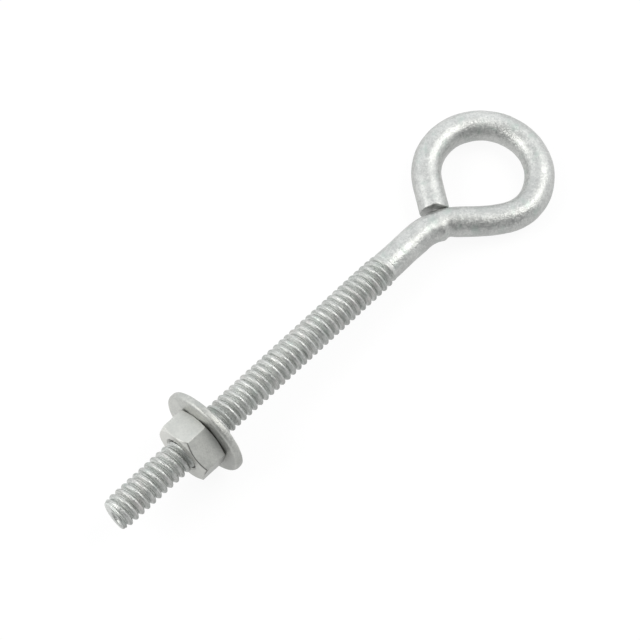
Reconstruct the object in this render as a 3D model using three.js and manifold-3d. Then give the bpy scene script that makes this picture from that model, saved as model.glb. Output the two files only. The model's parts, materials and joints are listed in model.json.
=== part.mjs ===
// Galvanised eye bolt: one rod, threaded at one end and bent into an open eye at the other,
// with a flat washer and a hexagon nut on its thread. Millimetres, +Z up.
//
// The bolt lies on the rim of its washer and on the far end of its eye, so its shank slopes down
// a little towards the eye. +X points from the tip of the thread to the eye.
//
// Inside the sloping group, X runs along the shank from the tip, Y runs across the eye, and Z
// stands square to the plane of the eye.

import * as THREE from "three";
import { mergeVertices } from "three/addons/utils/BufferGeometryUtils.js";
import Module from "manifold-3d";

const wasm = await Module();
wasm.setup();

const { degToRad } = THREE.MathUtils;

// Thread: 3/16 in, 24 turns to the inch, right-handed, with its zinc coat.
const PITCH = 25.4 / 24;
const CREST_RADIUS = 2.4;
const ROOT_RADIUS = 1.78;
const THREAD_LENGTH = 51.4;
const CREST_ANGLE_AT_TIP = degToRad(108);
const SEGMENTS_PER_TURN = 12;

// Shares of one pitch: the flat at the root, the rising flank and the flat on the crest.
const ROOT_SHARE = 0.12;
const FLANK_SHARE = 0.29;
const CREST_SHARE = 1 - ROOT_SHARE - 2 * FLANK_SHARE;

// Tip: a chamfer round a shallow hollow left by thread rolling.
const TIP_FACE_RADIUS = 1.85;
const TIP_CHAMFER_LENGTH = 0.5;
const TIP_HOLLOW_RADIUS = 1.2;
const TIP_HOLLOW_FLOOR_RADIUS = 0.85;
const TIP_HOLLOW_DEPTH = 0.3;

// Plain rod, its neck and its eye. A stretch with no radius is straight; a negative turn bends
// towards -Y and a positive one towards +Y.
const ROD_RADIUS = 2.15;
const ROD_OVERLAP = 0.6;
const ROD_START = THREAD_LENGTH - ROD_OVERLAP;
const NECK_START = 59.2;
const STRETCHES = [
  { length: NECK_START - ROD_START },
  { radius: 7.4, turn: degToRad(-43.9) },
  { length: 3.0 },
  { radius: 19, turn: degToRad(13.4) },
  { radius: 6.0, turn: degToRad(39.6) },
  { radius: 8.06, turn: degToRad(226.5) },
  { length: 4.35 },
];
const EYE_FAR_END = 80.8;
const ROD_SIDES = 18;
const ROD_STEPS = 66;

// Nut: a hexagon with 30 degree chamfers on both faces, which leave round faces a little smaller
// than the flats.
const NUT_START = 12.65;
const NUT_HEIGHT = 3.62;
const NUT_ACROSS_FLATS = 8.3;
const NUT_CORNER_ANGLE = degToRad(42.8);
const NUT_CHAMFER_ANGLE = degToRad(30);
const NUT_FACE_INSET = 0.05;
const NUT_THREAD_CLEARANCE = 0.18;
const NUT_COUNTERSINK_RADIUS = 2.75;

// Washer.
const WASHER_GAP = 0.3;
const WASHER_THICKNESS = 1.2;
const WASHER_RADIUS = 6.6;
const WASHER_HOLE_RADIUS = 2.75;
const WASHER_RIM_ROUND = 0.45;
const WASHER_HOLE_ROUND = 0.15;
const WASHER_START = NUT_START + NUT_HEIGHT + WASHER_GAP;

const ROUND_SEGMENTS = 48;

// How far a cutting shape reaches past what it cuts, and how close two points merge into one.
const OVERCUT = 0.5;
const MERGE_DISTANCE = 1e-4;

const ZINC = { metalness: 0.9, roughness: 0.5 };

/** A geometry's closed surface as a manifold solid, with its faces turned outwards. */
function solidFrom(geometry) {
  const bare = geometry.clone();
  bare.deleteAttribute("normal");
  bare.deleteAttribute("uv");
  const merged = mergeVertices(bare, MERGE_DISTANCE);
  const mesh = (triVerts) =>
    new wasm.Mesh({ numProp: 3, vertProperties: merged.attributes.position.array, triVerts });
  const triangles = new Uint32Array(merged.index.array);
  const solid = new wasm.Manifold(mesh(triangles));
  return solid.volume() > 0 ? solid : new wasm.Manifold(mesh(triangles.slice().reverse()));
}

/** A manifold solid as a three.js geometry. */
function geometryFrom(solid) {
  const { vertProperties, triVerts } = solid.getMesh();
  const geometry = new THREE.BufferGeometry();
  geometry.setAttribute("position", new THREE.BufferAttribute(vertProperties, 3));
  geometry.setIndex(new THREE.BufferAttribute(triVerts, 1));
  geometry.computeVertexNormals();
  return geometry;
}

/** A solid turned about the shank's axis from [radius, distance from the tip] points. */
function turned(profile) {
  const points = profile.map(([radius, along]) => new THREE.Vector2(radius, along));
  const lathe = new THREE.LatheGeometry(points, ROUND_SEGMENTS);
  return solidFrom(lathe.rotateZ(-Math.PI / 2));
}

/**
 * A right-handed screw along the shank, `from` to about `to`. Its trapezoid thread is one strip
 * wound on a helix, closed at each end by a fan to a point on the axis.
 */
function screw(crestRadius, rootRadius, crestShare, from, to) {
  const rootShare = 1 - 2 * FLANK_SHARE - crestShare;
  const corners = [
    [0, rootRadius],
    [rootShare, rootRadius],
    [rootShare + FLANK_SHARE, crestRadius],
    [1 - FLANK_SHARE, crestRadius],
  ];
  const crestCentre = rootShare + FLANK_SHARE + crestShare / 2;
  const firstTurn = Math.floor(from / PITCH) - 1;
  const rows = Math.ceil((to - from) / PITCH + 3) * SEGMENTS_PER_TURN;
  const last = corners.length - 1;
  const positions = [];
  for (let row = 0; row <= rows; row++) {
    const turn = firstTurn + row / SEGMENTS_PER_TURN;
    const angle = CREST_ANGLE_AT_TIP + 2 * Math.PI * (turn + crestCentre);
    for (const [share, radius] of corners) {
      positions.push(PITCH * (turn + share), radius * Math.cos(angle), radius * Math.sin(angle));
    }
  }
  const startPoint = positions.length / 3;
  positions.push(PITCH * firstTurn, 0, 0);
  positions.push(PITCH * (firstTurn + rows / SEGMENTS_PER_TURN + 1 - FLANK_SHARE), 0, 0);
  const endPoint = startPoint + 1;

  const index = [];
  const at = (row, corner) =>
    corner > last ? (row + SEGMENTS_PER_TURN) * corners.length : row * corners.length + corner;
  for (let row = 0; row < rows; row++) {
    for (let corner = 0; corner <= last; corner++) {
      if (corner === last && row + SEGMENTS_PER_TURN >= rows) continue;
      const a = at(row, corner);
      const b = at(row, corner + 1);
      const c = at(row + 1, corner + 1);
      const d = at(row + 1, corner);
      index.push(a, c, b, a, d, c);
    }
  }
  const startLoop = [];
  for (let row = 0; row <= SEGMENTS_PER_TURN; row++) startLoop.push(at(row, 0));
  for (let corner = last; corner > 0; corner--) startLoop.push(at(0, corner));
  const endLoop = [];
  for (let row = rows; row >= rows - SEGMENTS_PER_TURN; row--) endLoop.push(at(row, last));
  for (let corner = 0; corner < last; corner++) endLoop.push(at(rows, corner));
  for (const [loop, point] of [[startLoop, startPoint], [endLoop, endPoint]]) {
    loop.forEach((vertex, i) => index.push(point, loop[(i + 1) % loop.length], vertex));
  }

  const geometry = new THREE.BufferGeometry();
  geometry.setAttribute("position", new THREE.Float32BufferAttribute(positions, 3));
  geometry.setIndex(index);
  return solidFrom(geometry);
}

/** The centre line of the plain rod: straight stretches and arcs, one after another, in XY. */
class RodCentreLine extends THREE.Curve {
  constructor(stretches) {
    super();
    this.stretches = stretches.map(({ length, radius, turn = 0 }) => ({
      length: length ?? radius * Math.abs(turn),
      turn,
    }));
    this.total = this.stretches.reduce((sum, stretch) => sum + stretch.length, 0);
  }

  getPoint(t, target = new THREE.Vector3()) {
    let left = t * this.total;
    let heading = 0;
    target.set(ROD_START, 0, 0);
    for (const { length, turn } of this.stretches) {
      const run = Math.min(left, length);
      const turned = (turn * run) / length;
      // The chord of an arc that turns by `turned` over a length `run`.
      const chord = turned ? (2 * run * Math.sin(turned / 2)) / turned : run;
      target.x += chord * Math.cos(heading + turned / 2);
      target.y += chord * Math.sin(heading + turned / 2);
      heading += turned;
      left -= run;
      if (left <= 0) break;
    }
    return target;
  }
}

function bentRod() {
  const section = new THREE.Shape().absarc(0, 0, ROD_RADIUS, 0, 2 * Math.PI);
  const rod = new THREE.ExtrudeGeometry(section, {
    steps: ROD_STEPS,
    curveSegments: ROD_SIDES / 2,
    bevelEnabled: false,
    extrudePath: new RodCentreLine(STRETCHES),
  });
  return solidFrom(rod);
}

function eyeBolt() {
  const envelope = turned([
    [0, TIP_HOLLOW_DEPTH],
    [TIP_HOLLOW_FLOOR_RADIUS, TIP_HOLLOW_DEPTH],
    [TIP_HOLLOW_RADIUS, 0],
    [TIP_FACE_RADIUS, 0],
    [CREST_RADIUS, TIP_CHAMFER_LENGTH],
    [CREST_RADIUS + OVERCUT, TIP_CHAMFER_LENGTH],
    [CREST_RADIUS + OVERCUT, THREAD_LENGTH - PITCH],
    [ROOT_RADIUS, THREAD_LENGTH],
    [0, THREAD_LENGTH],
  ]);
  const thread = screw(CREST_RADIUS, ROOT_RADIUS, CREST_SHARE, 0, THREAD_LENGTH);
  return geometryFrom(thread.intersect(envelope).add(bentRod()));
}

function hexNut() {
  const end = NUT_START + NUT_HEIGHT;
  const cornerRadius = NUT_ACROSS_FLATS / 2 / Math.cos(Math.PI / 6);
  const flatRadius = NUT_ACROSS_FLATS / 2;
  const hexagon = new THREE.Shape(
    Array.from({ length: 6 }, (_, i) => {
      const angle = NUT_CORNER_ANGLE + (i * Math.PI) / 3;
      return new THREE.Vector2(cornerRadius * Math.cos(angle), cornerRadius * Math.sin(angle));
    }),
  );
  // The prism grows along its own +Z, and its X and Y become the bolt's Y and Z.
  const prism = new THREE.ExtrudeGeometry(hexagon, { depth: NUT_HEIGHT, bevelEnabled: false });
  const turnToShank = new THREE.Matrix4().makeBasis(
    new THREE.Vector3(0, 1, 0),
    new THREE.Vector3(0, 0, 1),
    new THREE.Vector3(1, 0, 0),
  );
  prism.applyMatrix4(turnToShank).translate(NUT_START, 0, 0);

  const slope = Math.tan(NUT_CHAMFER_ANGLE);
  const faceRadius = flatRadius - NUT_FACE_INSET;
  const rim = cornerRadius + OVERCUT;
  const chamfers = turned([
    [0, NUT_START],
    [faceRadius, NUT_START],
    [rim, NUT_START + (rim - faceRadius) * slope],
    [rim, end - (rim - faceRadius) * slope],
    [faceRadius, end],
    [0, end],
  ]);

  const clearedRoot = ROOT_RADIUS + NUT_THREAD_CLEARANCE;
  const clearedCrest = CREST_RADIUS + NUT_THREAD_CLEARANCE;
  const cutter = screw(clearedCrest, clearedRoot, CREST_SHARE, NUT_START - PITCH, end + PITCH);
  const sink = NUT_COUNTERSINK_RADIUS - clearedRoot;
  const outerSink = turned([
    [0, NUT_START - OVERCUT],
    [NUT_COUNTERSINK_RADIUS, NUT_START - OVERCUT],
    [NUT_COUNTERSINK_RADIUS, NUT_START],
    [clearedRoot, NUT_START + sink * slope],
    [0, NUT_START + sink * slope],
  ]);
  const innerSink = turned([
    [0, end - sink * slope],
    [clearedRoot, end - sink * slope],
    [NUT_COUNTERSINK_RADIUS, end],
    [NUT_COUNTERSINK_RADIUS, end + OVERCUT],
    [0, end + OVERCUT],
  ]);
  const body = solidFrom(prism).intersect(chamfers);
  return geometryFrom(body.subtract(cutter).subtract(outerSink).subtract(innerSink));
}

/** Quarter-round corner points of a profile, centred on (radius, along). */
function cornerPoints(radius, along, round, startAngle, steps) {
  return Array.from({ length: steps + 1 }, (_, i) => {
    const angle = startAngle + (i / steps) * (Math.PI / 2);
    return [radius + round * Math.cos(angle), along + round * Math.sin(angle)];
  });
}

function flatWasher() {
  const start = WASHER_START;
  const end = WASHER_START + WASHER_THICKNESS;
  const outer = WASHER_RADIUS - WASHER_RIM_ROUND;
  const hole = WASHER_HOLE_RADIUS + WASHER_HOLE_ROUND;
  const profile = [
    ...cornerPoints(outer, start + WASHER_RIM_ROUND, WASHER_RIM_ROUND, -Math.PI / 2, 3),
    ...cornerPoints(outer, end - WASHER_RIM_ROUND, WASHER_RIM_ROUND, 0, 3),
    ...cornerPoints(hole, end - WASHER_HOLE_ROUND, WASHER_HOLE_ROUND, Math.PI / 2, 1),
    ...cornerPoints(hole, start + WASHER_HOLE_ROUND, WASHER_HOLE_ROUND, Math.PI, 1),
  ];
  return geometryFrom(turned([...profile, profile[0]]));
}

function piece(name, geometry, color) {
  const mesh = new THREE.Mesh(geometry, new THREE.MeshStandardMaterial({ color, ...ZINC }));
  mesh.name = name;
  return mesh;
}

// The slope of the shank: the washer holds it higher at one end than the rod does at the other.
const washerMiddle = WASHER_START + WASHER_THICKNESS / 2;
const slope = Math.asin((WASHER_RADIUS - ROD_RADIUS) / (EYE_FAR_END - washerMiddle));

const sloping = new THREE.Group();
sloping.add(
  piece("eye_bolt", eyeBolt(), 0xbfc3c0),
  piece("flat_washer", flatWasher(), 0xc9ccc8),
  piece("hex_nut", hexNut(), 0xc4c7c3),
);
sloping.rotation.y = slope;

// The origin is under the middle of the bolt, on the surface that it lies on.
const eyeBoltAssembly = new THREE.Group();
eyeBoltAssembly.add(sloping);
eyeBoltAssembly.updateMatrixWorld(true);
const box = new THREE.Box3().setFromObject(eyeBoltAssembly, true);
const middle = box.getCenter(new THREE.Vector3());
sloping.position.set(-middle.x, -middle.y, -box.min.z);

export default eyeBoltAssembly;
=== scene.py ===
"""A galvanised eye bolt with its washer and nut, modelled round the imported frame.

Lengths are in millimetres in the bolt's own frame, where X runs along the shank from the tip, Y
runs across the eye and Z stands square to the plane of the eye. to_row() turns such points into
the row frame, in metres. Angles round the shank run from Y towards Z.
"""

import json
import math

import bpy
import numpy as np
from mathutils import Matrix, Vector, noise


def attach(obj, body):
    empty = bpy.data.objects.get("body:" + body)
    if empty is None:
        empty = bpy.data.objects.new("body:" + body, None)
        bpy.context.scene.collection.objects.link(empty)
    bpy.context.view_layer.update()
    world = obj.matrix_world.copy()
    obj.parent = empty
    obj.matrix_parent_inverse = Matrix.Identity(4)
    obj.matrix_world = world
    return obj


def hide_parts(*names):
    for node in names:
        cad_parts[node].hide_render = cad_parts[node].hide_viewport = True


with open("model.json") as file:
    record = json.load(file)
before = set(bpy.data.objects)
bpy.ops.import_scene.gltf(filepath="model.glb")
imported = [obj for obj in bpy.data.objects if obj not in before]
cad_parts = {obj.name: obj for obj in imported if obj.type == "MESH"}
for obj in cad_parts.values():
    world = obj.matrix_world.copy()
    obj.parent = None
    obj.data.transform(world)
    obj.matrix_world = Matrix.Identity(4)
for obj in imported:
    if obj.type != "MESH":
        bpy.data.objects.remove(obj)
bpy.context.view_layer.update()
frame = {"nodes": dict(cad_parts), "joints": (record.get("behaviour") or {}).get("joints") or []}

MM = 0.001
FULL_TURN = 2 * math.pi
QUARTER_TURN = math.pi / 2


def straight(length):
    """A straight stretch of the rod, as its length and how far it turns."""
    return length, 0.0


def bend(radius, degrees):
    """A bent stretch of the rod, as its length and how far it turns."""
    turn = math.radians(degrees)
    return abs(turn) * radius, turn


# Thread: 3/16 in with 24 turns to the inch, right-handed, with its zinc coat.
PITCH = 25.4 / 24
CREST_RADIUS = 2.4
ROOT_RADIUS = 1.78
THREAD_FULLNESS = 2.0
CREST_ANGLE_AT_TIP = math.radians(108)
THREAD_END = 51.8
RUN_OUT = 2.0

# Tip: a rounded edge round a shallow hollow that is off its middle. The thread's grooves are
# filled at the face and reach their depth after TIP_FADE. The face slants to one side.
TIP_FACE_RADIUS = 1.82
TIP_ROUND = 0.32
TIP_FLARE = 0.3
TIP_BLEND = 0.05
TIP_FILLED_RADIUS = 2.12
TIP_FADE = 1.5
TIP_FADE_BLEND = 0.1
TIP_FADE_DEPTH = TIP_FILLED_RADIUS - ROOT_RADIUS + TIP_FADE_BLEND
TIP_SLANT = 0.1
TIP_SLANT_DEPTH = 1.5
TIP_HOLLOW_RADIUS = 1.2
TIP_HOLLOW_DEPTH = 0.7
TIP_HOLLOW_ASIDE = -0.52
TIP_HOLLOW_SHARES = np.linspace(0.15, 1, 12)
TIP_RIM_SHARES = (0.15, 0.5, 0.85)

# Plain rod, from where the neck starts. The neck is flattened, with a ridge and a dip on the
# inside of its bend, as (distance from the neck's start, rise).
ROD_RADIUS = 2.15
NECK_START = 59.2
STRETCHES = [bend(7.4, -43.9), straight(3.0), bend(19.0, 13.4), bend(6.0, 39.6),
             bend(8.03, 226.5), straight(4.35)]
EYE_ASIDE = 0.05
EYE_ASIDE_STRETCH = (THREAD_END, NECK_START + 6)
NECK_FLATTENING = 0.15
NECK_FLAT_MIDDLE = 2.2
NECK_FLAT_REACH = 2.0
NECK_WRINKLES = [(3.4, 0.2), (4.6, -0.2)]
NECK_WRINKLE_REACH = 0.7

# Sheared end: its length past the centre line's end, and a notch across it each way that leaves
# lips, lower on one side than on the other. Its edge and its face are rings, as (share of the
# rod's radius, how far back).
CUT_LENGTH = 0.11
CUT_NOTCH = 0.45
CUT_NOTCH_ANGLE = math.radians(95)
CUT_LIP_SHARES = (0.2, 1.0)
CUT_EDGE = [(1.0, 0.12), (0.995, 0.05)]
CUT_FACE = [(0.975, 0.015), (0.93, 0), (0.8, 0), (0.6, 0), (0.4, 0), (0.2, 0)]

# Nut. Its bore is centred on the shank, because it turns, and its outside is a little off it.
NUT_START = 12.6
NUT_HEIGHT = 3.94
NUT_ACROSS_FLATS = 8.42
NUT_CORNER_ANGLE = math.radians(41.2)
NUT_CORNER_SHARPNESS = 260
NUT_FACE_INSET = 0.05
NUT_FACE_RADIUS = NUT_ACROSS_FLATS / 2 - NUT_FACE_INSET
NUT_OUTER_CHAMFER = math.tan(math.radians(30))
NUT_INNER_CHAMFER = math.tan(math.radians(20))
NUT_CHAMFER_BLEND = 0.05
NUT_ASIDE = -0.05
NUT_THREAD_CLEARANCE = 0.12
NUT_BORE_CLEARANCE = 0.07
NUT_BORE_RADIUS = TIP_FILLED_RADIUS + NUT_BORE_CLEARANCE
NUT_COUNTERSINK = math.tan(math.radians(30))
NUT_COUNTERSINK_RADIUS = 2.75
NUT_COUNTERSINK_BLEND = 0.04
# The side of the nut's outer face and chamfer that has painted light.
NUT_PAINTED_LIGHT_SIDE = math.radians(50)
# The flat with painted shade along its edge with the outer chamfer: its side, the cosines over
# which the painted shade sets in, and its width.
NUT_PAINTED_CREASE_SIDE = math.radians(134)
NUT_PAINTED_CREASE_SPREAD = (0.7, 0.85)
NUT_PAINTED_CREASE_WIDTH = 0.13

# Washer: it is bent a little across one line, and its rim is rounded more on the nut's side. The
# rim has painted shade on one side and a painted highlight on the other, changing over between
# two cosines of the angle round the shank.
WASHER_START = 16.57
WASHER_THICKNESS = 1.2
WASHER_RADIUS = 6.6
WASHER_HOLE_RADIUS = 2.75
WASHER_FRONT_ROUND = 0.5
WASHER_BACK_ROUND = 0.32
WASHER_HOLE_ROUND = 0.15
WASHER_ASIDE = 0.15
WASHER_BEND = 0.21
WASHER_BENT_SIDE = (-0.6, 0.8)
WASHER_RIM = (WASHER_RADIUS - 0.5, WASHER_RADIUS - 0.2)
WASHER_RIM_PAINTED_TURNS = (-0.9, 0.1)
WASHER_RIM_PAINTED_HIGHLIGHT = -1
WASHER_RIM_PAINTED_SHADE = 1.1

# Unevenness of the zinc coat, as (size, height) of smooth noise.
ROD_LUMPS = [(2.6, 0.05), (0.7, 0.025)]
ROD_LUMPS_LOST_ON_THREAD = 0.55
NUT_LUMPS = [(3.0, 0.03), (0.8, 0.012)]
WASHER_LUMPS = [(4.0, 0.05), (0.9, 0.015)]

# Mesh fineness.
BOLT_SIDES = 72
STATIONS_PER_TURN = 20
FIRST_STATION = 0.02
ROD_STEP = 0.2
NUT_SIDES = 216
NUT_CROWDING = 0.8
NUT_END_DEPTH = 0.6
NUT_END_RINGS = 14
NUT_MIDDLE_RINGS = 24
NUT_BORE_RINGS = 76
NUT_FACE_SHARES = (0.06, 0.3, 0.6, 0.9, 0.98)
WASHER_SIDES = 180
WASHER_FACE_SHARES = np.linspace(0.04, 0.96, 12)


# ---------------------------------------------------------------------- where the bolt lies

def bolt_frame():
    """The tip and the three directions of the bolt's own frame, in the row frame."""
    slide, spin = frame["joints"]
    shank = Vector(slide["axis"]).normalized()
    across = Vector((0, 1, 0))
    on_axis = Vector(spin["pos_m"])
    solid = frame["nodes"]["eye_bolt"].data
    to_tip = min((v.co - on_axis).dot(shank) for v in solid.vertices)
    return on_axis + shank * to_tip, shank, across, shank.cross(across)


TIP, SHANK, ACROSS, SQUARE = bolt_frame()


def to_row(points):
    """Points in the bolt's frame, in mm, as points in the row frame, in m."""
    axes = np.array([SHANK, ACROSS, SQUARE])
    return np.array(TIP) + MM * np.asarray(points) @ axes


# ---------------------------------------------------------------------- small helpers

def smooth_step(low, high, x):
    t = np.clip((x - low) / (high - low), 0, 1)
    return t * t * (3 - 2 * t)


def soft_min(a, b, width):
    """The smaller of a and b, with the crossing rounded off over width."""
    h = np.clip(0.5 + (b - a) / (2 * width), 0, 1)
    return b + (a - b) * h - width * h * (1 - h)


def angles(count):
    return np.arange(count) * FULL_TURN / count


def skin(name, rings, poles=None):
    """A closed mesh over a stack of equal rings of points. The stack closes on the two poles,
    or the last ring meets the first one where there are none."""
    rings = np.array(rings)
    rows, sides = rings.shape[:2]
    points = rings.reshape(-1, 3)
    bands = rows if poles is None else rows - 1
    i, j = np.meshgrid(np.arange(bands), np.arange(sides), indexing="ij")
    after, beside = (i + 1) % rows, (j + 1) % sides
    quads = np.stack([i * sides + j, i * sides + beside,
                      after * sides + beside, after * sides + j], -1)
    faces = quads.reshape(-1, 4).tolist()
    if poles is not None:
        first, last = len(points), len(points) + 1
        points = np.vstack([points, poles])
        end = (rows - 1) * sides
        faces += [[first, (k + 1) % sides, k] for k in range(sides)]
        faces += [[last, end + k, end + (k + 1) % sides] for k in range(sides)]
    mesh = bpy.data.meshes.new(name)
    mesh.from_pydata(to_row(points).tolist(), [], faces)
    mesh.shade_smooth()
    piece = bpy.data.objects.new(name, mesh)
    bpy.context.scene.collection.objects.link(piece)
    return piece


def roughen(piece, lumps, share=None):
    """Moves each vertex along its normal by smooth noise: (size, height) pairs, in mm. share is
    how much of it each vertex takes."""
    mesh = piece.data
    moved = np.empty(len(mesh.vertices) * 3)
    for k, vertex in enumerate(mesh.vertices):
        rise = sum(height * noise.noise(vertex.co / (MM * size)) for size, height in lumps)
        rise *= 1 if share is None else share[k]
        moved[3 * k:3 * k + 3] = vertex.co + vertex.normal * rise * MM
    mesh.vertices.foreach_set("co", moved)
    mesh.update()


def store(piece, name, values):
    """Keeps one number for each vertex on the mesh, for its material."""
    layer = piece.data.attributes.new(name, "FLOAT", "POINT")
    layer.data.foreach_set("value", np.asarray(values, np.float32).ravel())


# ---------------------------------------------------------------------- the bolt

def thread_phase(along, angle):
    """Turns from the nearest crest's middle, from -0.5 to 0.5."""
    turns = along / PITCH - (angle - CREST_ANGLE_AT_TIP) / FULL_TURN
    return turns - np.round(turns)


def thread_height(phase):
    """The thread's profile: 1 on the broad round crest and 0 in the narrow root, where zinc
    has gathered."""
    return 1 - (2 * np.abs(phase)) ** THREAD_FULLNESS


def thread_radius(along, angle):
    height = thread_height(thread_phase(along, angle))
    return ROOT_RADIUS + (CREST_RADIUS - ROOT_RADIUS) * height


def past_thread(distance):
    """0 on the thread and 1 on the plain rod, with the run-out between."""
    return smooth_step(THREAD_END - RUN_OUT / 2, THREAD_END + RUN_OUT / 2, distance)


class CentreLine:
    """The middle of the rod, by distance from the tip: a place in XY and a heading."""

    def __init__(self):
        self.total = NECK_START
        for length, _ in STRETCHES:
            self.total += length

    def at(self, distance):
        run = min(distance, NECK_START)
        x, y, heading = run, 0.0, 0.0
        left = distance - run
        for length, turn in STRETCHES:
            if left <= 0:
                break
            run = min(left, length)
            turned = turn * run / length
            chord = 2 * run * math.sin(turned / 2) / turned if turned else run
            x += chord * math.cos(heading + turned / 2)
            y += chord * math.sin(heading + turned / 2)
            heading += turned
            left -= run
        aside = EYE_ASIDE * smooth_step(*EYE_ASIDE_STRETCH, distance)
        return x, y + aside, heading


def bolt_radius(distance, angle, set_back=0.0):
    """The rod's radius at a distance from the tip along its centre line. set_back is how much
    farther on the slanting tip moves that ring, so that the thread keeps its own place."""
    filled = TIP_FILLED_RADIUS - TIP_FADE_DEPTH * distance / TIP_FADE
    thread = -soft_min(-thread_radius(distance + set_back, angle), -filled, TIP_FADE_BLEND)
    edge = min(distance / TIP_ROUND, 1)
    envelope = TIP_FACE_RADIUS + TIP_ROUND * math.sqrt(1 - (1 - edge) ** 2)
    envelope += TIP_FLARE * max(distance - TIP_ROUND, 0)
    thread = soft_min(thread, envelope, TIP_BLEND)

    from_neck = distance - NECK_START
    flat = np.exp(-((from_neck - NECK_FLAT_MIDDLE) / NECK_FLAT_REACH) ** 2)
    rod = ROD_RADIUS - NECK_FLATTENING * flat * np.cos(angle)
    inner_side = np.clip(-np.cos(angle), 0, None) ** 2
    for along, rise in NECK_WRINKLES:
        rod = rod + rise * inner_side * np.exp(-((from_neck - along) / NECK_WRINKLE_REACH) ** 2)
    return thread + (rod - thread) * past_thread(distance)


def eye_bolt():
    line = CentreLine()
    angle = angles(BOLT_SIDES)
    cos, sin = np.cos(angle), np.sin(angle)
    ones = np.ones(BOLT_SIDES)
    rings, places = [], []

    def ring(distance, radius, ahead=0.0, aside=0.0):
        """Adds a ring of the rod's surface. ahead moves its points on along the rod, and aside
        moves it across, in the plane of the eye."""
        x, y, heading = line.at(distance)
        out = radius * cos + aside
        rings.append(np.stack([
            x - out * math.sin(heading) + ahead * math.cos(heading) * ones,
            y + out * math.cos(heading) + ahead * math.sin(heading) * ones,
            radius * sin], -1))
        places.append(distance + ahead * ones)

    def slant(distance, radius):
        """How far the slanting end face sets the rod back on its one side."""
        fading = max(1 - distance / TIP_SLANT_DEPTH, 0)
        return TIP_SLANT * (radius * cos + TIP_FACE_RADIUS) * fading

    def cut(share):
        """How far the sheared face stands out, at a share of the rod's radius."""
        low, high = CUT_LIP_SHARES
        lip = np.abs(np.sin(2 * (angle - CUT_NOTCH_ANGLE)))
        lip = lip * ((low + high) / 2 + (high - low) / 2 * cos)
        return share * (CUT_LENGTH + CUT_NOTCH * lip)

    # The hollow in the tip, with a flat floor and a steep wall, then the rim round it.
    for share in TIP_HOLLOW_SHARES:
        radius = TIP_HOLLOW_RADIUS * share
        depth = TIP_HOLLOW_DEPTH * (1 - share ** 3)
        ring(0, radius, depth + slant(0, radius), TIP_HOLLOW_ASIDE)
    for share in TIP_RIM_SHARES:
        radius = TIP_HOLLOW_RADIUS + (TIP_FACE_RADIUS - TIP_HOLLOW_RADIUS) * share
        ring(0, radius, slant(0, radius), TIP_HOLLOW_ASIDE * (1 - share))

    # The thread with its run-out, then the plain rod.
    fine_end = THREAD_END + RUN_OUT
    for distance in np.arange(FIRST_STATION, fine_end, PITCH / STATIONS_PER_TURN):
        set_back = slant(distance, TIP_FILLED_RADIUS)
        ring(distance, bolt_radius(distance, angle, set_back), set_back)
    steps = math.ceil((line.total - fine_end) / ROD_STEP)
    for distance in np.linspace(fine_end, line.total, steps + 1)[:-2]:
        ring(distance, bolt_radius(distance, angle))

    # The sheared end, with a slightly rounded edge.
    for share, back in CUT_EDGE + CUT_FACE:
        ring(line.total, ROD_RADIUS * share, cut(share) - back)

    x, y, _ = line.at(line.total)
    hollow_floor = TIP_HOLLOW_DEPTH + TIP_SLANT * TIP_FACE_RADIUS
    bolt = skin("eye_bolt_rod", rings, [(hollow_floor, TIP_HOLLOW_ASIDE, 0), (x, y, 0)])

    place = np.concatenate([np.ravel(places), [0, line.total]])
    around = np.concatenate([np.tile(angle, len(rings)), [0, 0]])
    phase = thread_phase(place, around)
    threaded = 1 - past_thread(place)
    sheared = np.arange(len(place)) >= (len(rings) - len(CUT_FACE)) * BOLT_SIDES
    store(bolt, "threaded", threaded)
    store(bolt, "height", 0.5 + (thread_height(phase) - 0.5) * threaded)
    # A place that follows the groove, for lines along it: round the profile, then along the rod.
    store(bolt, "flow_x", 0.5 * np.cos(FULL_TURN * phase))
    store(bolt, "flow_y", 0.5 * np.sin(FULL_TURN * phase))
    store(bolt, "flow_z", place)
    # cut: the sheared face, brighter steel with painted light that fades round to one side.
    store(bolt, "cut", sheared * (0.5 + 0.5 * np.cos(around)))
    roughen(bolt, ROD_LUMPS, 1 - ROD_LUMPS_LOST_ON_THREAD * threaded)
    return bolt


# ---------------------------------------------------------------------- the nut and the washer

def hexagon_radius(angle):
    """The distance to a hexagon with slightly rounded corners."""
    total = np.zeros_like(angle)
    for k in range(6):
        facing = np.cos(angle - NUT_CORNER_ANGLE - math.radians(30 + 60 * k))
        total += np.clip(facing, 0, None) ** NUT_CORNER_SHARPNESS
    return NUT_ACROSS_FLATS / 2 * total ** (-1 / NUT_CORNER_SHARPNESS)


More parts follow.
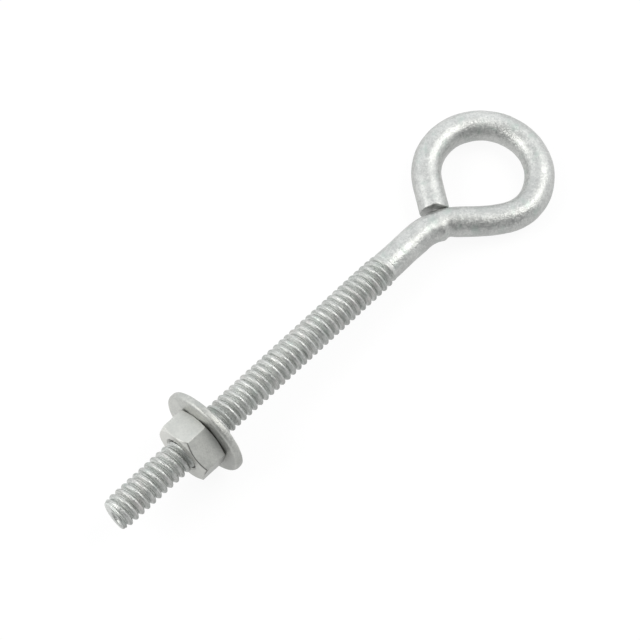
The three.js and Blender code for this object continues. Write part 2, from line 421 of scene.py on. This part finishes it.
def hex_nut():
    # The points crowd together towards the corners.
    even = np.arange(NUT_SIDES) * 6 / NUT_SIDES
    crowded = even - NUT_CROWDING * np.sin(FULL_TURN * even) / FULL_TURN
    angle = NUT_CORNER_ANGLE + crowded * math.radians(60)
    rings = []

    def ring(along, radius, aside=0.0):
        radius = radius * np.ones(NUT_SIDES)
        along = along * np.ones(NUT_SIDES)
        rings.append(np.stack([along, radius * np.cos(angle) + aside, radius * np.sin(angle)], -1))

    def outer_chamfer(depth):
        """The outer chamfer's radius at a depth from the outer face."""
        return NUT_FACE_RADIUS + depth / NUT_OUTER_CHAMFER

    def wall(depth):
        """The outside at a depth from the outer face: the hexagon inside its two chamfers."""
        inner = NUT_FACE_RADIUS + (NUT_HEIGHT - depth) / NUT_INNER_CHAMFER
        chamfered = soft_min(hexagon_radius(angle), outer_chamfer(depth), NUT_CHAMFER_BLEND)
        return soft_min(chamfered, inner, NUT_CHAMFER_BLEND)

    def bore(depth):
        """The bore at a depth from the outer face: the thread between its two countersinks."""
        sink = NUT_COUNTERSINK_RADIUS - min(depth, NUT_HEIGHT - depth) / NUT_COUNTERSINK
        thread = thread_radius(NUT_START + depth, angle) + NUT_THREAD_CLEARANCE
        thread = np.maximum(thread, NUT_BORE_RADIUS)
        return -soft_min(-thread, -sink, NUT_COUNTERSINK_BLEND)

    def face(along, radius, shares):
        """Rings from the countersink (share 0) out to a radius (share 1)."""
        for share in shares:
            reach = NUT_COUNTERSINK_RADIUS + (radius - NUT_COUNTERSINK_RADIUS) * share
            ring(along, reach, NUT_ASIDE * share)

    def crease_shade(depth):
        """Near 1 where the one flat meets the outer chamfer, for the painted shade along that
        edge.
        """
        apart = (hexagon_radius(angle) - outer_chamfer(depth)) / NUT_PAINTED_CREASE_WIDTH
        on_side = smooth_step(*NUT_PAINTED_CREASE_SPREAD, np.cos(angle - NUT_PAINTED_CREASE_SIDE))
        return np.exp(-apart ** 2) * on_side

    ends = NUT_END_DEPTH * (1 - np.cos(np.linspace(0, QUARTER_TURN, NUT_END_RINGS)))
    middle = np.linspace(NUT_END_DEPTH, NUT_HEIGHT - NUT_END_DEPTH, NUT_MIDDLE_RINGS)[1:-1]
    depths = np.concatenate([ends, middle, NUT_HEIGHT - ends[::-1]])
    face(NUT_START, min(NUT_FACE_RADIUS, wall(0).min()), NUT_FACE_SHARES)
    for depth in depths:
        ring(NUT_START + depth, wall(depth), NUT_ASIDE)
    face(NUT_START + NUT_HEIGHT, wall(NUT_HEIGHT), NUT_FACE_SHARES[::-1])
    for depth in np.linspace(NUT_HEIGHT, 0, NUT_BORE_RINGS):
        ring(NUT_START + depth, bore(depth))
    nut = skin("hexagon_nut", rings)

    # Painted shade along one flat's edge with the outer chamfer.
    crease_shading = np.zeros((len(rings), NUT_SIDES))
    # Painted light on one side of the outer face and chamfer.
    painted_floor_light = np.zeros((len(rings), NUT_SIDES))
    floor_light_side = 0.5 + 0.5 * np.cos(angle - NUT_PAINTED_LIGHT_SIDE)
    face_rows = len(NUT_FACE_SHARES)
    painted_floor_light[:face_rows] = floor_light_side
    for row, depth in enumerate(depths, face_rows):
        crease_shading[row] = crease_shade(depth)
        painted_floor_light[row] = (hexagon_radius(angle) > outer_chamfer(depth)) * floor_light_side
    store(nut, "crease_shading", crease_shading)
    store(nut, "painted_floor_light", painted_floor_light)
    roughen(nut, NUT_LUMPS)
    return nut


def flat_washer():
    angle = angles(WASHER_SIDES)
    rings = []

    def ring(along, radius):
        y, z = radius * np.cos(angle), radius * np.sin(angle)
        towards = (WASHER_BENT_SIDE[0] * y + WASHER_BENT_SIDE[1] * z) / radius
        bent = WASHER_BEND * towards * (radius / WASHER_RADIUS) ** 3
        rings.append(np.stack([along + bent, y + WASHER_ASIDE, z], -1))

    def face(along, rim_round, shares):
        """Rings between the hole's rounding (share 0) and the rim's (share 1)."""
        low, high = WASHER_HOLE_RADIUS + WASHER_HOLE_ROUND, WASHER_RADIUS - rim_round
        for share in shares:
            ring(along, low + (high - low) * share)

    def rounded(along, radius, round_size, start, steps):
        """A quarter round of the section, from start, in quarter turns."""
        for k in range(steps + 1):
            turn = (start + k / steps) * QUARTER_TURN
            ring(along + round_size * math.sin(turn), radius + round_size * math.cos(turn))

    end = WASHER_START + WASHER_THICKNESS
    front, back, hole = WASHER_FRONT_ROUND, WASHER_BACK_ROUND, WASHER_HOLE_ROUND
    face(WASHER_START, front, WASHER_FACE_SHARES)
    rounded(WASHER_START + front, WASHER_RADIUS - front, front, start=-1, steps=10)
    rounded(end - back, WASHER_RADIUS - back, back, start=0, steps=8)
    face(end, back, WASHER_FACE_SHARES[::-1])
    rounded(end - hole, WASHER_HOLE_RADIUS + hole, hole, start=1, steps=4)
    rounded(WASHER_START + hole, WASHER_HOLE_RADIUS + hole, hole, start=2, steps=4)
    washer = skin("flat_washer_disc", rings)

    points = np.array(rings)
    reach = np.hypot(points[..., 1] - WASHER_ASIDE, points[..., 2])
    # Painted shade on one side of the rim and a painted highlight on the other.
    painted_shade = smooth_step(*WASHER_RIM_PAINTED_TURNS, np.cos(angle))
    painted_shade = WASHER_RIM_PAINTED_HIGHLIGHT + (WASHER_RIM_PAINTED_SHADE - WASHER_RIM_PAINTED_HIGHLIGHT) * painted_shade
    # side: for painted light on one side of the washer and painted shade on the other.
    store(washer, "side", np.tile(np.cos(angle), len(rings)))
    store(washer, "rim", smooth_step(*WASHER_RIM, reach) * painted_shade)
    roughen(washer, WASHER_LUMPS)
    return washer


# ---------------------------------------------------------------------- zinc

# Linear colours of each piece's zinc: its light and dark tones, and the clouds that tint it.
ROD_COLOURS = (0.555, 0.562, 0.548, 1), (0.38, 0.387, 0.378, 1), (0.37, 0.425, 0.395, 1)
NUT_COLOURS = (0.515, 0.52, 0.495, 1), (0.43, 0.435, 0.415, 1), (0.42, 0.44, 0.42, 1)
WASHER_COLOURS = (0.53, 0.535, 0.51, 1), (0.4, 0.405, 0.388, 1), (0.39, 0.41, 0.395, 1)
PINKISH = (0.52, 0.49, 0.48, 1)
# Painted light that lifts the shade in one side of the thread's root.
PAINTED_ROOT_LIGHT = (0.78, 0.8, 0.78, 1)
# The sheared end's brighter steel, with painted light over its shaded face.
SHEARED_STEEL_AND_PAINTED_LIGHT = (0.88, 0.89, 0.87, 1)
DARK_LINES = (0.3, 0.32, 0.3, 1)
# Painted light on one side of the nut's outer face and chamfer.
PAINTED_FLOOR_LIGHT = (0.7, 0.7, 0.67, 1)
# Painted shade along one of the nut's chamfer edges.
PAINTED_CREASE_SHADE = (0.1, 0.1, 0.095, 1)

# Sizes of the zinc's noises, and the heights of their bumps, in mm.
CLOUD_SIZE = 3.2
MOTTLE_SIZE = 0.42
SPECK_SIZE = 0.22
TINT_SIZE = 1.7
PINK_SIZE = 2.3
LINE_SIZE = 0.36
MOTTLE_BUMP = 0.05
SPECK_BUMP = 0.04
LINE_BUMP = 0.05

# Where each effect sets in and where it is full, on its own noise or number.
TONE_RANGE = (0.38, 0.62)
TINT_RANGE = (0.52, 0.75)
ROUGHNESS_RANGE = (0.3, 0.7)
PINK_RANGE = (0.5, 0.3)
ROOT_LIGHT_RANGE = (0.05, 0.5)
LINES_RANGE = (0.45, 0.65)
CREST_RANGE = (0.8, 1.0)
PAINTED_SHADE_RANGE = (0.2, 0.9)

# How much of each colour lies over the zinc where it is strongest.
TINT_SHARE = 0.6
PINK_SHARE = 0.5
ROOT_LIGHT_SHARE = 0.5
SHEARED_STEEL_AND_LIGHT_SHARE = 0.9
LINES_SHARE = 0.6
PAINTED_FLOOR_LIGHT_SHARE = 0.8

# Roughness of each piece, how far it goes below and above that, and the thread's own.
ROD_ROUGHNESS = 0.42
NUT_ROUGHNESS = 0.47
WASHER_ROUGHNESS = 0.46
SMOOTHEST = -0.08
ROUGHEST = 0.1
THREAD_ROUGHER = 0.06
CREST_SMOOTHER = 0.08

NUT_RELIEF = 0.35
WASHER_RELIEF = 0.6
# The washer's tone on its shaded side and on its lit side, as painted shade and painted light.
WASHER_PAINTED_TONES = (0.8, 1.14)
# How much painted shade darkens the washer's rim, or lightens it as a painted highlight on the
# other side.
RIM_PAINTED_SHADE = 0.14
METALLIC = 0.85
# The direction that painted shade faces, and the share by which painted shade darkens the zinc
# there.
PAINTED_SHADE_SIDE = (0, -0.8, -0.6)
PAINTED_SHADE_SHARE = 0.2
ROD_PAINTED_SHADE = 0.08
THREAD_PAINTED_SHADE = 0.22
# Where the painted light lies in the thread's root, in turns from the crest, and that as a
# direction.
ROOT_PHASE = -0.42
ROOT_SIDE = (math.cos(FULL_TURN * ROOT_PHASE), math.sin(FULL_TURN * ROOT_PHASE), 0)


class Shader:
    """A material's node tree, with a short way to add each node and link its inputs."""

    def __init__(self, name):
        self.material = bpy.data.materials.new(name)
        self.material.use_nodes = True
        self.tree = self.material.node_tree
        self.surface = self.tree.nodes["Principled BSDF"]
        place = self.node("ShaderNodeTexCoord").outputs["Object"]
        self.millimetres = self.scaled(place, 1 / MM)

    def node(self, kind, **values):
        made = self.tree.nodes.new(kind)
        for name, value in values.items():
            self.feed(made, name, value)
        return made

    def feed(self, node, name, value):
        """Links or sets an input of a node, or sets one of its own settings."""
        if name in node.inputs:
            self.feed_at(node, name, value)
        else:
            setattr(node, name, value)

    def feed_at(self, node, key, value):
        """Links a socket to an input of a node, or sets the input to a number or a colour."""
        if isinstance(value, bpy.types.NodeSocket):
            self.tree.links.new(value, node.inputs[key])
        else:
            node.inputs[key].default_value = value

    def maths(self, operation, a, b):
        made = self.node("ShaderNodeMath", operation=operation)
        self.feed_at(made, 0, a)
        self.feed_at(made, 1, b)
        return made.outputs[0]

    def total(self, *parts):
        """The sum of (value, share) pairs, each value times its share."""
        whole, *others = [self.maths("MULTIPLY", value, share) for value, share in parts]
        for part in others:
            whole = self.maths("ADD", whole, part)
        return whole

    def scaled(self, vector, scale):
        return self.node("ShaderNodeVectorMath", operation="SCALE", Vector=vector,
                         Scale=scale).outputs[0]

    def dot(self, vector, direction):
        made = self.node("ShaderNodeVectorMath", operation="DOT_PRODUCT", Vector=vector)
        made.inputs[1].default_value = direction
        return made.outputs["Value"]

    def spread(self, value, low, high, to_low=0.0, to_high=1.0):
        """A value from low to high, as one from to_low to to_high."""
        made = self.node("ShaderNodeMapRange", interpolation_type="SMOOTHSTEP")
        for index, number in enumerate((value, low, high, to_low, to_high)):
            self.feed_at(made, index, number)
        return made.outputs[0]

    def blend(self, share, a, b):
        """The colour a, with a share of b over it."""
        made = self.node("ShaderNodeMix", data_type="RGBA")
        self.feed_at(made, 0, share)
        self.feed_at(made, 6, a)
        self.feed_at(made, 7, b)
        return made.outputs[2]

    def grain(self, size, detail=3.0, roughness=0.55, vector=None):
        """Noise whose features are about size mm across."""
        made = self.node("ShaderNodeTexNoise", Scale=1 / size, Detail=detail, Roughness=roughness,
                         Vector=vector or self.millimetres)
        return made.outputs["Fac"]

    def bump(self, height, distance, below=None):
        """A normal for bumps of a height in mm, on top of the normal below."""
        made = self.node("ShaderNodeBump", Height=height, Distance=distance * MM, Strength=1.0)
        if below is not None:
            self.feed(made, "Normal", below)
        return made.outputs[0]

    def kept(self, name):
        """A number kept on the mesh by store()."""
        return self.node("ShaderNodeAttribute", attribute_name=name).outputs["Fac"]


def zinc(name, colours, roughness, relief=1.0):
    """Hot-dip zinc: a clouded, finely mottled matt grey with small bright flecks."""
    light, dark, tint = colours
    s = Shader(name)
    cloud = s.grain(CLOUD_SIZE, detail=4)
    mottle = s.grain(MOTTLE_SIZE, detail=5, roughness=0.6)
    speck = s.grain(SPECK_SIZE, detail=2, roughness=0.5)
    tone = s.total((cloud, 0.3), (mottle, 0.4), (speck, 0.3))
    base = s.blend(s.spread(tone, *TONE_RANGE), dark, light)
    tinted = s.spread(s.grain(TINT_SIZE, detail=3), *TINT_RANGE, to_high=TINT_SHARE)
    base = s.blend(tinted, base, tint)
    rough = s.spread(s.total((mottle, 0.6), (speck, 0.4)), *ROUGHNESS_RANGE,
                     roughness + SMOOTHEST, roughness + ROUGHEST)
    normal = s.bump(mottle, MOTTLE_BUMP * relief)
    normal = s.bump(speck, SPECK_BUMP * relief, normal)
    return s, base, rough, normal


def finish_zinc(s, base, rough, normal, painted_shade_share=PAINTED_SHADE_SHARE):
    """Connects the surface. painted_shade_share is how much painted shade darkens it on the side
    the bolt rests on.
    """
    # Painted shade on the faces that turn towards PAINTED_SHADE_SIDE.
    facing = s.dot(s.node("ShaderNodeNewGeometry").outputs["Normal"], PAINTED_SHADE_SIDE)
    painted_shade = s.maths("MULTIPLY", s.spread(facing, *PAINTED_SHADE_RANGE), painted_shade_share)
    s.feed(s.surface, "Base Color", s.scaled(base, s.maths("SUBTRACT", 1, painted_shade)))
    s.feed(s.surface, "Roughness", rough)
    s.feed(s.surface, "Normal", normal)
    s.feed(s.surface, "Metallic", METALLIC)
    return s.material


def rod_zinc():
    """The rod's zinc. The thread is pinkish in places, with painted light at one side of its
    root, dark lines along the groove and smoother crests. The sheared end is brighter steel with
    painted light, and painted shade darkens the side the rod rests on, more of it on the thread."""
    s, base, rough, normal = zinc("galvanised_rod", ROD_COLOURS, ROD_ROUGHNESS)
    threaded, height = s.kept("threaded"), s.kept("height")
    flow = s.node("ShaderNodeCombineXYZ", X=s.kept("flow_x"), Y=s.kept("flow_y"),
                  Z=s.kept("flow_z")).outputs[0]

    pink = s.maths("MULTIPLY", s.spread(s.grain(PINK_SIZE, detail=2), *PINK_RANGE), threaded)
    base = s.blend(s.maths("MULTIPLY", pink, PINK_SHARE), base, PINKISH)
    # Painted light on one side of the thread's root, where the groove lies in shade.
    filled = s.maths("MULTIPLY", s.spread(s.dot(flow, ROOT_SIDE), *ROOT_LIGHT_RANGE), threaded)
    base = s.blend(s.maths("MULTIPLY", filled, ROOT_LIGHT_SHARE), base, PAINTED_ROOT_LIGHT)
    # The sheared face: brighter steel with painted light over its shade.
    base = s.blend(s.maths("MULTIPLY", s.kept("cut"), SHEARED_STEEL_AND_LIGHT_SHARE), base, SHEARED_STEEL_AND_PAINTED_LIGHT)
    lines = s.grain(LINE_SIZE, detail=2, roughness=0.6, vector=flow)
    lined = s.maths("MULTIPLY", s.spread(lines, *LINES_RANGE), threaded)
    base = s.blend(s.maths("MULTIPLY", lined, LINES_SHARE), base, DARK_LINES)

    crest = s.maths("MULTIPLY", s.spread(height, *CREST_RANGE), threaded)
    rough = s.maths("ADD", rough, s.maths("MULTIPLY", threaded, THREAD_ROUGHER))
    rough = s.maths("SUBTRACT", rough, s.maths("MULTIPLY", crest, CREST_SMOOTHER))
    normal = s.bump(s.maths("MULTIPLY", lines, threaded), LINE_BUMP, normal)
    # Painted shade on the side the rod rests on, more of it on the thread.
    painted_shade_share = s.maths("ADD", s.maths("MULTIPLY", threaded, THREAD_PAINTED_SHADE), ROD_PAINTED_SHADE)
    return finish_zinc(s, base, rough, normal, painted_shade_share)


def nut_zinc():
    """The nut's zinc: painted light on one side of the outer face and chamfer, and a line of
    painted shade where the chamfer meets one of the flats."""
    s, base, rough, normal = zinc("galvanised_nut", NUT_COLOURS, NUT_ROUGHNESS, NUT_RELIEF)
    # Painted light on one side of the outer face and chamfer.
    base = s.blend(s.maths("MULTIPLY", s.kept("painted_floor_light"), PAINTED_FLOOR_LIGHT_SHARE), base, PAINTED_FLOOR_LIGHT)
    # Painted shade along one flat's edge with the outer chamfer.
    base = s.blend(s.kept("crease_shading"), base, PAINTED_CREASE_SHADE)
    return finish_zinc(s, base, rough, normal)


def washer_zinc():
    """The washer's zinc: painted light on one side and painted shade on the other, with painted
    shade on one side of its rim and a painted highlight on the other.
    """
    s, base, rough, normal = zinc("galvanised_washer", WASHER_COLOURS, WASHER_ROUGHNESS,
                                  WASHER_RELIEF)
    # Painted shade on one side of the washer and painted light on the other.
    painted_light_and_shade = s.spread(s.kept("side"), -1, 1, *WASHER_PAINTED_TONES)
    # Painted shade on one side of the rim and a painted highlight on the other.
    painted_light_and_shade = s.maths("SUBTRACT", painted_light_and_shade, s.maths("MULTIPLY", s.kept("rim"), RIM_PAINTED_SHADE))
    return finish_zinc(s, s.scaled(base, painted_light_and_shade), rough, normal)


# ---------------------------------------------------------------------- studio

VIEW_AZIMUTH = math.radians(-41.89)
VIEW_ELEVATION = math.radians(66.45)
VIEW_ROLL = math.radians(-4.38)
VIEW_DISTANCE = 0.3235
VIEW_LENS = 133.1
VIEW_SENSOR = 36
VIEW_REACH = (0.01, 10)
LOOK_AT = Vector((-0.0017, 0.00007, 0.006))

BOX_COLOUR = (1, 0.985, 0.95)
ROOM_COLOUR = (0.97, 0.985, 1.0, 1)
ROOM_RADIANCE = 1.45
# The room darkens from where a direction's cosine to the dark side is DARK_FROM.
DARK_RADIANCE = 0.3
DARK_SIDE = Vector((-0.49, -0.61, 0.62)).normalized()
DARK_FROM = -0.2

# The floor is a hair below the bolt, and mostly glows, so that shadows on it stay faint.
FLOOR_LEVEL = -0.03 * MM
FLOOR_HALF = 1.5
FLOOR_COLOUR = (0.06, 0.06, 0.06, 1)
FLOOR_ROUGHNESS = 0.9
FLOOR_GLOW = 0.91


def studio_camera():
    camera = bpy.data.objects.new("camera", bpy.data.cameras.new("camera"))
    bpy.context.scene.collection.objects.link(camera)
    tilt = QUARTER_TURN - VIEW_ELEVATION
    turn = Matrix.Rotation(VIEW_AZIMUTH, 3, "Z") @ Matrix.Rotation(tilt, 3, "X")
    turn = turn @ Matrix.Rotation(VIEW_ROLL, 3, "Z")
    camera.rotation_euler = turn.to_euler()
    camera.location = LOOK_AT + VIEW_DISTANCE * (turn @ Vector((0, 0, 1)))
    camera.data.lens = VIEW_LENS
    camera.data.sensor_width = VIEW_SENSOR
    camera.data.clip_start, camera.data.clip_end = VIEW_REACH
    bpy.context.scene.camera = camera


def soft_box(name, azimuth, elevation, distance, size, radiance):
    """A square light that faces the bolt."""
    light = bpy.data.lights.new(name, "AREA")
    light.shape = "RECTANGLE"
    light.size = light.size_y = size
    light.energy = radiance * math.pi * size * size
    light.color = BOX_COLOUR
    lamp = bpy.data.objects.new(name, light)
    bpy.context.scene.collection.objects.link(lamp)
    azimuth, elevation = math.radians(azimuth), math.radians(elevation)
    towards = Vector((math.cos(azimuth) * math.cos(elevation),
                      math.sin(azimuth) * math.cos(elevation), math.sin(elevation)))
    lamp.location = towards * distance
    lamp.rotation_mode = "QUATERNION"
    lamp.rotation_quaternion = towards.to_track_quat("Z", "Y")


def studio_lights():
    soft_box("left_box", azimuth=145, elevation=46, distance=0.8, size=0.42, radiance=5.2)
    soft_box("right_box", azimuth=-30, elevation=54, distance=0.8, size=0.46, radiance=4.6)


def studio_room():
    """An even pale room that is darker over the side the bolt is seen from."""
    world = bpy.data.worlds.new("studio")
    world.use_nodes = True
    tree = world.node_tree
    back = tree.nodes["Background"]
    direction = tree.nodes.new("ShaderNodeTexCoord")
    facing = tree.nodes.new("ShaderNodeVectorMath")
    facing.operation = "DOT_PRODUCT"
    facing.inputs[1].default_value = DARK_SIDE
    falling = tree.nodes.new("ShaderNodeMapRange")
    falling.interpolation_type = "SMOOTHSTEP"
    for index, number in enumerate((DARK_FROM, 1.0, ROOM_RADIANCE, DARK_RADIANCE), 1):
        falling.inputs[index].default_value = number
    tree.links.new(direction.outputs["Generated"], facing.inputs[0])
    tree.links.new(facing.outputs["Value"], falling.inputs[0])
    tree.links.new(falling.outputs[0], back.inputs["Strength"])
    back.inputs["Color"].default_value = ROOM_COLOUR
    bpy.context.scene.world = world
    bpy.context.scene.view_settings.view_transform = "Standard"


def pale_floor():
    mesh = bpy.data.meshes.new("floor")
    corners = [(FLOOR_HALF * x, FLOOR_HALF * y, FLOOR_LEVEL)
               for x, y in ((-1, -1), (1, -1), (1, 1), (-1, 1))]
    mesh.from_pydata(corners, [], [(0, 1, 2, 3)])
    floor = bpy.data.objects.new("floor", mesh)
    bpy.context.scene.collection.objects.link(floor)
    paper = bpy.data.materials.new("white_paper")
    paper.use_nodes = True
    surface = paper.node_tree.nodes["Principled BSDF"]
    surface.inputs["Base Color"].default_value = FLOOR_COLOUR
    surface.inputs["Roughness"].default_value = FLOOR_ROUGHNESS
    surface.inputs["Emission Color"].default_value = (1, 1, 1, 1)
    surface.inputs["Emission Strength"].default_value = FLOOR_GLOW
    mesh.materials.append(paper)


# ---------------------------------------------------------------------- putting it together

def add(piece, material, body, node):
    piece.data.materials.append(material)
    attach(piece, body)
    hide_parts(node)


studio_camera()
studio_room()
studio_lights()
pale_floor()
add(eye_bolt(), rod_zinc(), "bolt", "eye_bolt")
add(flat_washer(), washer_zinc(), "washer", "flat_washer")
add(hex_nut(), nut_zinc(), "nut", "hex_nut")
